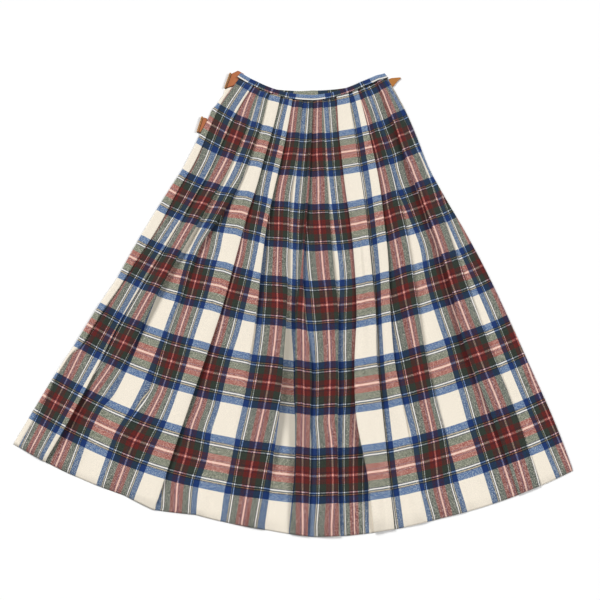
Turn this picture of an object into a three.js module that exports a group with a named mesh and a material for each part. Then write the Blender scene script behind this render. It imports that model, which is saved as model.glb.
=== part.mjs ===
// A long pleated wool skirt laid flat: a pleated front on a flat back, two waistbands,
// two leather buckle tabs on the left edge and the pointed end of a strap on the right.
// Millimetres, +Z up. The hem is toward -Y and the waist toward +Y.
import * as THREE from 'three';

const degree = Math.PI / 180;

// The skirt is a flat fan. Every point has an angle, in degrees to the right of the fan's
// centre line, and a radius, in millimetres from the fan's centre above the waist.
const clothWall = 1.4;
const backWall = 2.0;
const seam = 0.3;
const layerGap = 0.4;
const pitch = clothWall + layerGap;
const frontBase = backWall + seam + clothWall / 2;

// How a fold is rounded: the room past an upper edge, the level cloth before a turn, the
// tilt of the layer between two turns, and the half-width of the bend in an opened fold.
const edgeClearance = 2;
const levelStretch = 0.8;
const turnSlack = 0.1;
const openTurn = 1.8;
const longestMitre = 1.5;

// The front's pleats. Each fold runs from waist to hem, and its angle is given at these radii.
const foldRadii = [247, 285, 320, 380, 450, 520, 600, 700, 800, 900, 1000, 1100];
const frontLeftEdge = [-39.2, -38.0, -36.5, -33.9, -31.7, -31.0, -30.1, -30.0, -30.3, -30.4, -29.9, -29.6];
const frontRightEdge = [37.2, 35.7, 34.4, 32.0, 29.7, 28.95, 28.6, 27.95, 27.1, 26.3, 25.65, 24.85];

// over: the panel that lies on top at the fold. lap: how far the cloth turns back under it,
// where a minus is an opened fold. lift: how high the upper panel stands over the lower one.
// lap and lift are given at the waist, hip, knee and hem.
const depthRadii = [247, 450, 750, 1100];
const folds = [
  { over: 'left', lap: [9, 10, 12, 7], lift: [3.6, 4.5, 4.2, 5.5],
    angle: [-32.6, -31.3, -30.3, -28.9, -27.5, -27.1, -27.2, -27.1, -27.0, -26.85, -26.7, -26.3] },
  { over: 'left', lap: [9, 10, 6, -6], lift: [3.6, 4.5, 5, 1.5],
    angle: [-27.7, -25.9, -24.6, -23.6, -23.3, -23.6, -24.0, -23.9, -23.8, -23.7, -23.6, -23.5] },
  { over: 'left', lap: [9, 8, -10, -12], lift: [3.6, 6, 2.5, 0.8],
    angle: [-22.2, -20.8, -19.8, -19.25, -19.15, -19.9, -21.4, -20.9, -20.5, -20.3, -20.3, -20.3] },
  { over: 'left', lap: [9, 11, 11, -4], lift: [3.6, 4.5, 4.5, 2],
    angle: [-16.5, -15.8, -15.4, -15.2, -14.9, -15.0, -14.75, -14.5, -14.65, -14.9, -15.1, -15.2] },
  { over: 'left', lap: [8, 10, 2, -10], lift: [3.6, 6, 4, 0.8],
    angle: [-10.7, -10.4, -10.25, -10.2, -10.4, -10.4, -9.9, -9.25, -8.95, -8.9, -9.0, -9.1] },
  { over: 'left', lap: [6, 7, 10, 10], lift: [3.6, 4, 4, 4],
    angle: [-5.9, -5.8, -5.7, -5.8, -6.1, -5.65, -5.15, -4.6, -4.45, -4.4, -4.7, -5.0] },
  { over: 'right', lap: [-2, -3, 1.5, 8], lift: [0.6, 0.6, 3.6, 4],
    angle: [-2.9, -2.9, -2.9, -2.95, -3.0, -3.1, -3.15, -3.05, -2.8, -2.45, -2.2, -2.5] },
  { over: 'left', lap: [2, 2, 2.5, 5], lift: [3.6, 4, 4, 4],
    angle: [-1.2, -1.2, -1.3, -1.5, -1.7, -2.1, -2.35, -1.8, -0.7, -0.75, -0.8, -0.9] },
  { over: 'left', lap: [7, 8, 9, 8], lift: [3.6, 4, 4, 4],
    angle: [3.4, 3.3, 3.2, 3.0, 3.0, 3.0, 3.15, 3.35, 2.85, 2.4, 2.1, 2.0] },
  { over: 'right', lap: [8, 10, 12, 8], lift: [3.6, 4.5, 5, 5],
    angle: [10.3, 9.0, 8.5, 8.0, 7.6, 7.55, 7.4, 6.5, 5.1, 4.55, 4.9, 5.2] },
  { over: 'left', lap: [8, 10, 9, 6], lift: [3.6, 4.5, 5, 4],
    angle: [16.4, 14.9, 14.0, 12.7, 11.8, 11.0, 10.05, 9.15, 8.05, 7.65, 7.3, 7.05] },
  { over: 'left', lap: [8, 10, 2, -10], lift: [3.6, 4.5, 5, 0.8],
    angle: [21.3, 20.0, 19.0, 17.6, 16.2, 14.7, 13.3, 11.5, 10.4, 10.2, 10.2, 10.2] },
  { over: 'left', lap: [7, 8, 1, -10], lift: [3.6, 4.5, 4.5, 0.8],
    angle: [25.2, 24.0, 23.0, 21.4, 20.1, 19.0, 17.4, 15.8, 14.6, 14.2, 14.1, 14.0] },
  { over: 'right', lap: [4, 6, 8, 6], lift: [3.6, 4.5, 5, 4],
    angle: [32.0, 30.0, 28.5, 26.3, 24.6, 23.8, 22.8, 21.5, 20.0, 19.7, 19.5, 19.1] },
  { over: 'left', lap: [3, 5, 8, 6], lift: [3.6, 4, 4.5, 4],
    angle: [35.0, 33.6, 32.4, 30.5, 28.6, 27.1, 25.5, 24.1, 23.15, 22.55, 22.0, 21.4] },
];

// The front's hem, and the top edges of the two waistbands.
const hemLine = { angle: [-29.6, -18.4, -15.3, -11.4, -4.4, -0.5, 2.5, 7.4, 11.4, 24.9],
  radius: [1097, 1096, 1105, 1096, 1105, 1113, 1112.5, 1108, 1103, 1098] };
const frontTop = { angle: [-43, -30, -12, 0, 9, 17, 25, 33, 38],
  radius: [239, 236, 236, 235, 231, 227.5, 225, 227, 234] };
const backTop = { angle: [-36, -30, -22.5, -13, -1.6, 8, 17, 25, 33],
  radius: [241, 239, 236, 228.5, 222.3, 222.8, 225.5, 226, 230] };
const bandWidth = 12.5;
const frontBand = { from: -39.4, to: 37.6, bottom: backWall + 0.7, thickness: 4.8, steps: 44 };
const backBand = { from: -36, to: 33, bottom: 0, thickness: backWall, steps: 22 };
const bandRounding = 1.0;

// How much of the waist's and the hem's shape each of the fold radii takes up.
const waistShare = [1, 0.5, 0.15, 0, 0, 0, 0, 0, 0, 0, 0, 0];
const hemShare = [0, 0, 0, 0, 0, 0, 0, 0, 0, 0, 0.2, 1];

// The back's left edge shows beside the front below the hip. Its right edge stays just inside.
const backLeftEdge = {
  angle: [-36.1, -36.6, -36.9, -37.8, -38.1, -37.5, -37.1, -36.5, -35.9, -35.1, -34.3, -33.5, -32.7, -32.2,
    -31.25, -31.2, -30.8, -30.7, -30.2],
  radius: [285, 300, 316, 325, 334, 349, 360, 375, 394, 415, 445, 481, 575, 635, 734, 793, 887, 952, 1097] };
const backRightEdge = { angle: [24.5, 26.0, 27.7, 28.3, 28.7, 29.4, 31.6, 34.0, 34.9, 33.6],
  radius: [1093, 900, 700, 600, 520, 450, 380, 320, 300, 280] };
const stripHem = { to: -29.4, radius: 1097 };
const backHemRadius = 1093;
const backHemSteps = 8;
const backSeamSteps = 12;

// Leather and buckles, as outlines about the fan's centre (x to the right, y toward the waist).
const leather = 2.0;
const buckleBar = { width: 4.2, thickness: 4.4, rounding: 1.4 };
const waistBarEnds = [[-173.5, -183.2], [-183.6, -217.4]];
const waistTabOutline = [[-158.0, -176.2], [-145.2, -184.6], [-153.0, -199.0], [-163.0, -210.0]];
const hipBarEnds = [[-228.4, -283.4], [-237.0, -317.6]];
const hipTabRows = [6, 7, 8];
const strapOutline = [[145.5, -201.0], [155.5, -194.0], [168.0, -192.7], [176.0, -192.2], [176.8, -194.0],
  [171.5, -198.6], [166.5, -204.6], [160.5, -213.0], [152.0, -217.0]];

const colour = { check: 0x8f8782, band: 0x66779c, leather: 0xb4683a, strap: 0xb9762f, buckle: 0x3a2417 };

// The value at x on a line through listed points, level past its ends.
function interpolate(xs, ys, x) {
  const next = xs.findIndex((listed) => listed >= x);
  if (next === 0) {
    return ys[0];
  }
  if (next < 0) {
    return ys[ys.length - 1];
  }
  const share = (x - xs[next - 1]) / (xs[next] - xs[next - 1]);
  return ys[next - 1] + (ys[next] - ys[next - 1]) * share;
}

function fanPoint(angle, radius) {
  return [radius * Math.sin(angle * degree), -radius * Math.cos(angle * degree)];
}

// One fold at one radius, as path points across the skirt: in a closed fold the upper panel's
// edge, the turn back under it and the turn forward again; in an opened fold a soft step down.
function foldPath(fold, column) {
  const radius = foldRadii[column];
  const edge = fold.angle[column] * degree * radius;
  const lap = interpolate(depthRadii, fold.lap, radius);
  const lift = lap > 0
    ? Math.max(2 * pitch, interpolate(depthRadii, fold.lift, radius))
    : interpolate(depthRadii, fold.lift, radius);
  const top = frontBase + lift;
  const middle = frontBase + Math.min(pitch, lift / 2);
  const upperTurn = Math.max((top - middle) / 2, lap > 0 ? 0 : openTurn);
  const lowerTurn = lap > 0 ? (middle - frontBase) / 2 : openTurn / 2;
  const closed = THREE.MathUtils.clamp(lap / (2 * upperTurn), -1, 1);
  const stepDown = [
    [-upperTurn, top],
    [0, (top + middle) / 2],
    [-closed * upperTurn, middle + turnSlack],
    [-lap + closed * lowerTurn, middle - turnSlack],
    [-lap, (middle + frontBase) / 2],
    [-lap + lowerTurn, frontBase],
  ];
  const side = fold.over === 'left' ? 1 : -1;
  const points = stepDown.map(([across, z]) => [edge + side * across, z]);
  if (side < 0) {
    points.reverse();
  }
  const upperEnd = { z: top, reach: edge - side * Math.max(lap + edgeClearance, upperTurn + levelStretch) };
  const lowerEnd = { z: frontBase,
    reach: edge + side * Math.max(edgeClearance, lowerTurn - lap + levelStretch) };
  return side > 0
    ? { points, leftEnd: upperEnd, rightEnd: lowerEnd }
    : { points, leftEnd: lowerEnd, rightEnd: upperEnd };
}

// The level part beside each fold, and the slope between two folds.
function panelPath(from, to) {
  const rise = to.z - from.z;
  return [0, 0.3, 0.7, 1].map((share) => [
    from.reach + (to.reach - from.reach) * share,
    from.z + rise * share * share * (3 - 2 * share),
  ]);
}

function frontPath(column) {
  const radius = foldRadii[column];
  const start = frontLeftEdge[column] * degree * radius;
  const end = frontRightEdge[column] * degree * radius;
  const path = [[start, frontBase]];
  let from = { z: frontBase, reach: start + edgeClearance };
  for (const fold of folds) {
    const { points, leftEnd, rightEnd } = foldPath(fold, column);
    path.push(...panelPath(from, leftEnd), ...points);
    from = rightEnd;
  }
  path.push(...panelPath(from, { z: frontBase, reach: end - edgeClearance }), [end, frontBase]);
  return path;
}

// Both faces of a wall of even thickness along a path, with mitred corners.
function wallFaces(path, thickness) {
  const directions = path.slice(1).map((point, i) => {
    const across = point[0] - path[i][0];
    const up = point[1] - path[i][1];
    const length = Math.hypot(across, up);
    return [across / length, up / length];
  });
  const upper = [];
  const lower = [];
  path.forEach(([across, z], i) => {
    const before = directions[Math.max(i - 1, 0)];
    const after = directions[Math.min(i, directions.length - 1)];
    let normal = [-(before[1] + after[1]), before[0] + after[0]];
    const length = Math.hypot(normal[0], normal[1]);
    normal = [normal[0] / length, normal[1] / length];
    const mitre = Math.min(longestMitre, 1 / (normal[0] * -after[1] + normal[1] * after[0]));
    const reach = mitre * thickness / 2;
    upper.push([across + normal[0] * reach, z + normal[1] * reach]);
    lower.push([across - normal[0] * reach, z - normal[1] * reach]);
  });
  return { upper, lower };
}

// A closed body from rings of points: rings joined one to the next, with the ends capped by
// joining each ring's first half to its second half.
function bodyFromRings(rings) {
  const count = rings[0].length;
  const half = count / 2;
  const positions = rings.flat(2);
  const triangles = [];
  const quad = (a, b, c, d) => triangles.push(a, b, c, a, c, d);
  for (let r = 0; r + 1 < rings.length; r += 1) {
    for (let i = 0; i < count; i += 1) {
      const next = (i + 1) % count;
      quad(r * count + i, r * count + next, (r + 1) * count + next, (r + 1) * count + i);
    }
  }
  const last = (rings.length - 1) * count;
  for (let i = 0; i + 1 < half; i += 1) {
    const mirror = count - 1 - i;
    quad(mirror, mirror - 1, i + 1, i);
    quad(last + i, last + i + 1, last + mirror - 1, last + mirror);
  }
  const geometry = new THREE.BufferGeometry();
  geometry.setAttribute('position', new THREE.Float32BufferAttribute(positions, 3));
  geometry.setIndex(triangles);
  geometry.computeVertexNormals();
  return geometry;
}

function frontGeometry() {
  const rings = foldRadii.map((radius, column) => {
    const { upper, lower } = wallFaces(frontPath(column), clothWall);
    return [...upper, ...lower.reverse()].map(([across, z]) => {
      const angle = across / radius / degree;
      const waist = interpolate(frontTop.angle, frontTop.radius, angle) + bandWidth + 2 * seam;
      const hem = interpolate(hemLine.angle, hemLine.radius, angle);
      const shaped = radius + waistShare[column] * (waist - foldRadii[0])
        + hemShare[column] * (hem - foldRadii[foldRadii.length - 1]);
      return [...fanPoint(angle, shaped), z];
    });
  });
  return bodyFromRings(rings.reverse());
}

function bandGeometry(band, topLine) {
  const top = band.bottom + band.thickness;
  const rings = [];
  for (let step = 0; step <= band.steps; step += 1) {
    const angle = band.from + (band.to - band.from) * step / band.steps;
    const inner = interpolate(topLine.angle, topLine.radius, angle);
    const outer = inner + bandWidth;
    const section = [
      [inner, band.bottom], [inner, top - bandRounding], [inner + bandRounding, top],
      [outer - bandRounding, top], [outer, top - bandRounding], [outer, band.bottom],
    ];
    rings.push(section.map(([radius, z]) => [...fanPoint(angle, radius), z]));
  }
  return bodyFromRings(rings);
}

function plateGeometry(outline, thickness) {
  const shape = new THREE.Shape(outline.map(([x, y]) => new THREE.Vector2(x, y)));
  return new THREE.ExtrudeGeometry(shape, { depth: thickness, bevelEnabled: false });
}

function backGeometry() {
  const outline = [];
  for (let step = 0; step <= backSeamSteps; step += 1) {
    const angle = backBand.from + (backBand.to - backBand.from) * (1 - step / backSeamSteps);
    const top = interpolate(backTop.angle, backTop.radius, angle);
    outline.push(fanPoint(angle, top + bandWidth + 2 * seam));
  }
  backLeftEdge.angle.forEach((angle, i) => outline.push(fanPoint(angle, backLeftEdge.radius[i])));
  outline.push(fanPoint(stripHem.to, stripHem.radius));
  for (let step = 0; step < backHemSteps; step += 1) {
    const angle = stripHem.to + (backRightEdge.angle[0] - stripHem.to) * step / backHemSteps;
    outline.push(fanPoint(angle, backHemRadius));
  }
  backRightEdge.angle.forEach((angle, i) => outline.push(fanPoint(angle, backRightEdge.radius[i])));
  return plateGeometry(outline, backWall);
}

// A rounded bar that lies on the surface between two ends.
function barGeometry([start, end]) {
  const length = Math.hypot(end[0] - start[0], end[1] - start[1]);
  const turn = Math.atan2(end[1] - start[1], end[0] - start[0]);
  const { width, thickness, rounding } = buckleBar;
  const shape = new THREE.Shape();
  shape.moveTo(-width / 2, 0);
  shape.lineTo(width / 2, 0);
  shape.lineTo(width / 2, thickness - rounding);
  shape.quadraticCurveTo(width / 2, thickness, width / 2 - rounding, thickness);
  shape.lineTo(rounding - width / 2, thickness);
  shape.quadraticCurveTo(-width / 2, thickness, -width / 2, thickness - rounding);
  const geometry = new THREE.ExtrudeGeometry(shape, { depth: length, bevelEnabled: false, curveSegments: 4 });
  geometry.rotateX(Math.PI / 2);
  geometry.rotateZ(turn + Math.PI / 2);
  return geometry.translate(start[0], start[1], 0);
}

// The edge of a tab that lies against its bar, on the bar's right side.
function besideBar([start, end]) {
  const length = Math.hypot(end[0] - start[0], end[1] - start[1]);
  const along = [(end[0] - start[0]) / length, (end[1] - start[1]) / length];
  const aside = buckleBar.width / 2 + seam;
  return [end, start].map(([x, y]) => [x - along[1] * aside, y + along[0] * aside]);
}

function waistTabGeometry() {
  return plateGeometry([...besideBar(waistBarEnds), ...waistTabOutline], leather);
}

// The hip tab fills the room between its bar and three points of the back's left edge.
function hipTabGeometry() {
  const clothEdge = hipTabRows.map((i) => {
    const radius = backLeftEdge.radius[i];
    return fanPoint(backLeftEdge.angle[i] - seam / radius / degree, radius);
  });
  return plateGeometry([...besideBar(hipBarEnds), ...clothEdge], leather);
}

const skirt = new THREE.Group();

function addPiece(name, geometry, color, roughness) {
  const material = new THREE.MeshStandardMaterial({ color, roughness, metalness: 0 });
  const mesh = new THREE.Mesh(geometry, material);
  mesh.name = name;
  skirt.add(mesh);
}

addPiece('skirt_back', backGeometry(), colour.check, 0.95);
addPiece('skirt_front', frontGeometry(), colour.check, 0.95);
addPiece('waistband_back', bandGeometry(backBand, backTop), colour.band, 0.95);
addPiece('waistband_front', bandGeometry(frontBand, frontTop), colour.band, 0.95);
addPiece('waist_tab', waistTabGeometry(), colour.leather, 0.6);
addPiece('waist_buckle', barGeometry(waistBarEnds), colour.buckle, 0.45);
addPiece('hip_tab', hipTabGeometry(), colour.leather, 0.6);
addPiece('hip_buckle', barGeometry(hipBarEnds), colour.buckle, 0.45);
addPiece('strap_end', plateGeometry(strapOutline, leather), colour.strap, 0.55);

// The origin is on the surface, under the middle of the skirt's bounding box.
const middle = new THREE.Box3().setFromObject(skirt).getCenter(new THREE.Vector3());
skirt.children.forEach((piece) => piece.position.set(-middle.x, -middle.y, 0));

export default skirt;
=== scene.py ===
import math

import bpy
import numpy as np
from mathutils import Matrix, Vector


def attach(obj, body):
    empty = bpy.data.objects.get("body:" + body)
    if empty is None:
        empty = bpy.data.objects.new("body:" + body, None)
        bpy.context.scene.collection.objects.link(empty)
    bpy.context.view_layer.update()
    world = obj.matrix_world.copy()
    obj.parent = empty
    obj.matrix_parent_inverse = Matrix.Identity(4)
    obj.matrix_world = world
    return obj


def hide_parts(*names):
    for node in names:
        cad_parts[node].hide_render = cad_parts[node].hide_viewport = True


# A long pleated wool skirt in a tartan check, laid flat on a pale surface. The file goes from
# the pleated front to the back, the waistbands and the leather. Metres, +Z up, the waist toward +Y.

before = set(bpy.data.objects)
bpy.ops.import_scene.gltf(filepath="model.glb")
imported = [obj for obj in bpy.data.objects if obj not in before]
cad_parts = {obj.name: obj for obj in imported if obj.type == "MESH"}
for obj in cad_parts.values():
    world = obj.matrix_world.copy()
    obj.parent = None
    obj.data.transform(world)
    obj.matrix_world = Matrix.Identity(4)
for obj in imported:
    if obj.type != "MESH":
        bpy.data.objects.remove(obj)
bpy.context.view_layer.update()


# The pleated front: one length of twill-woven wool, folded into sharp pleats at the waist that
# open toward the hem. It lies on the back panel and is sewn into the front waistband.


def table(columns, rows):
    """The rows of a table as records, each value under its column's name."""
    return [dict(zip(columns, row)) for row in rows]


# Every place on the skirt has an angle, in degrees to the right of the fan's centre line, and
# a radius, in metres from the fan's centre above the waist.
fan_centre = (0.04519, 0.64457)
cloth_wall = 0.0010
back_wall = 0.0020
seam = 0.0003
layer_gap = 0.0002
layer_pitch = cloth_wall + layer_gap
crease_radius = 0.0008
front_base = back_wall + seam + cloth_wall / 2

fold_radii = [0.247, 0.285, 0.32, 0.38, 0.45, 0.52, 0.6, 0.7, 0.8, 0.9, 1, 1.1]
front_left_edge = {
    "radius": [0.247, 0.285, 0.32, 0.38, 0.45, 0.52, 0.6, 0.7, 0.75, 0.79, 0.83, 0.86, 0.88, 0.9, 0.93,
               1, 1.1],
    "angle": [-38.4, -37.7, -36.6, -33.9, -31.7, -31, -30.1, -29.9, -29.75, -29.75, -29.65, -29.55, -29.6,
              -30.1, -30.2, -29.9, -29.6]}
front_right_edge = {
    "radius": fold_radii,
    "angle": [37.2, 35.7, 34.4, 32, 29.7, 28.95, 28.6, 27.95, 27.1, 26.3, 25.65, 24.85]}

# over: the panel that lies on top at the fold. lift: how high it stands over the other one, in
# millimetres, at the depth radii. angle: where the fold runs, at the fold radii. pinch: the least
# that it laps, where it is sharply creased. edge_lift: how high the free left edge stands.
depth_radii = [0.247, 0.285, 0.45, 0.6, 0.75, 0.9, 1, 1.1]
edge_lift = [0, 0.5, 3, 3.5, 5.5, 7, 2.5, 1]
folds = table(("over", "lift", "angle", "pinch"), [
    ("left", [2.2, 2.4, 3, 3.5, 3.5, 4.5, 11, 5],
     [-30.8, -30.6, -30.2, -28.9, -27.6, -27.3, -27.3, -27.35, -27.35, -26.85, -26.5, -26.6]),
    ("left", [2.2, 2.4, 4, 9.5, 9, 4.5, 2.5, 1.5],
     [-27, -25.5, -24.3, -23.6, -23.3, -23.6, -24, -24.4, -24.2, -23.9, -23.6, -23.5]),
    ("left", [2.2, 2.4, 4.5, 7, 3.5, 2.5, 1.5, 1],
     [-22.2, -20.8, -19.8, -19.25, -19.15, -19.9, -21.4, -20.9, -20.5, -20.3, -20.3, -20.3]),
    ("left", [2.2, 2.4, 4.5, 4, 6.5, 7, 5, 4],
     [-16.5, -15.8, -15.4, -15.2, -14.9, -15, -14.75, -14.5, -14.65, -14.9, -15.1, -15.2]),
    ("left", [2.2, 2.4, 6, 10.5, 6, 3, 2, 1],
     [-10.7, -10.4, -10.25, -10.2, -10.4, -10.4, -9.9, -9.25, -8.95, -8.9, -9, -9.1]),
    ("left", [2.2, 2.4, 3.5, 6, 11, 13, 9, 4],
     [-5.9, -5.8, -5.7, -5.8, -6.1, -5.65, -5.15, -4.6, -4.45, -4.4, -4.7, -5]),
    ("right", [0.8, 0.8, 0.8, 2.5, 9, 13, 10, 5],
     [-2.9, -2.9, -2.9, -2.95, -3, -3.1, -3.15, -3.05, -2.8, -2.45, -2.2, -2.5]),
    ("left", [2.2, 3.2, 5, 6.5, 5, 6, 7, 5],
     [-1.2, -1.2, -1.3, -1.5, -1.7, -2.1, -2.35, -1.8, -0.7, -0.75, -0.8, -0.9]),
    ("left", [2.2, 2.4, 3.5, 5, 7.5, 9.5, 9.5, 6],
     [3.4, 3.3, 3.2, 3, 3, 3, 3.15, 3.35, 2.85, 2.4, 2.1, 2]),
    ("right", [2.2, 2.4, 3, 3.5, 5, 10, 11, 8],
     [10.5, 9.4, 8.6, 8, 7.6, 7.5, 7.1, 6.3, 5.1, 4.6, 5.1, 5.2], [0, 0, 0, 0, 0, 4, 4, 2]),
    ("left", [2.2, 2.4, 3.5, 7, 8, 7, 6, 5],
     [16.4, 14.9, 14, 12.7, 11.8, 11, 10.05, 9.15, 8.05, 7.65, 7.3, 7.05]),
    ("left", [2.2, 2.4, 5, 6.5, 7, 5, 4, 3],
     [21.3, 20, 19, 17.6, 16.2, 14.7, 13.3, 11.5, 10.4, 10.2, 10.2, 10.2]),
    ("left", [2.2, 2.4, 4.5, 7, 7, 5, 3, 1],
     [25.2, 24, 23, 21.4, 20.1, 19, 17.4, 15.8, 14.6, 14.2, 14.1, 14]),
    ("right", [2.2, 4.5, 8, 11, 10, 7, 5, 3],
     [32, 30, 28.5, 26.3, 24.6, 23.8, 22.8, 21.5, 20, 19.7, 19.5, 19.1]),
    ("left", [2.2, 2.4, 4, 6.5, 7, 5, 4, 3],
     [35, 33.6, 32.4, 30.5, 28.6, 27.1, 25.5, 24.1, 23.15, 22.55, 22, 21.4]),
])

# unit_size is the real size of one unit of the check. The shares are parts of a panel's width: what
# a lap and the margin beside a fold may take. A fold that hides fewer units than closing_units, and
# is pinched less than closing_pinch, stays partly open.
unit_size = 0.00133
deepest_lap = 0.010
lap_share = 0.4
margin_width = 0.002
margin_share = 0.06
open_width = 0.007
closing_units = 7
closing_pinch = 0.002
bend_gap = 0.0001

# The waist seam and the hem, in metres about the fan's centre.
hem_line = {"angle": [-29.6, -18.4, -15.3, -11.4, -4.4, -0.5, 2.5, 7.4, 11.4, 24.9],
            "radius": [1.097, 1.096, 1.105, 1.096, 1.105, 1.113, 1.1125, 1.108, 1.103, 1.098]}
front_top = {"angle": [-43, -30, -12, 0, 9, 17, 25, 33, 38],
             "radius": [0.239, 0.236, 0.236, 0.235, 0.231, 0.2275, 0.225, 0.227, 0.234]}
band_width = 0.0125
waist_reach = 0.133
hem_reach = 0.150
reach_power = 1.5
# Past the back's hem the front's hem droops to the surface, and keeps a share of its fullness.
back_hem_radius = 1.086
hem_fullness = 0.5
droop_power = 1.6

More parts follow.
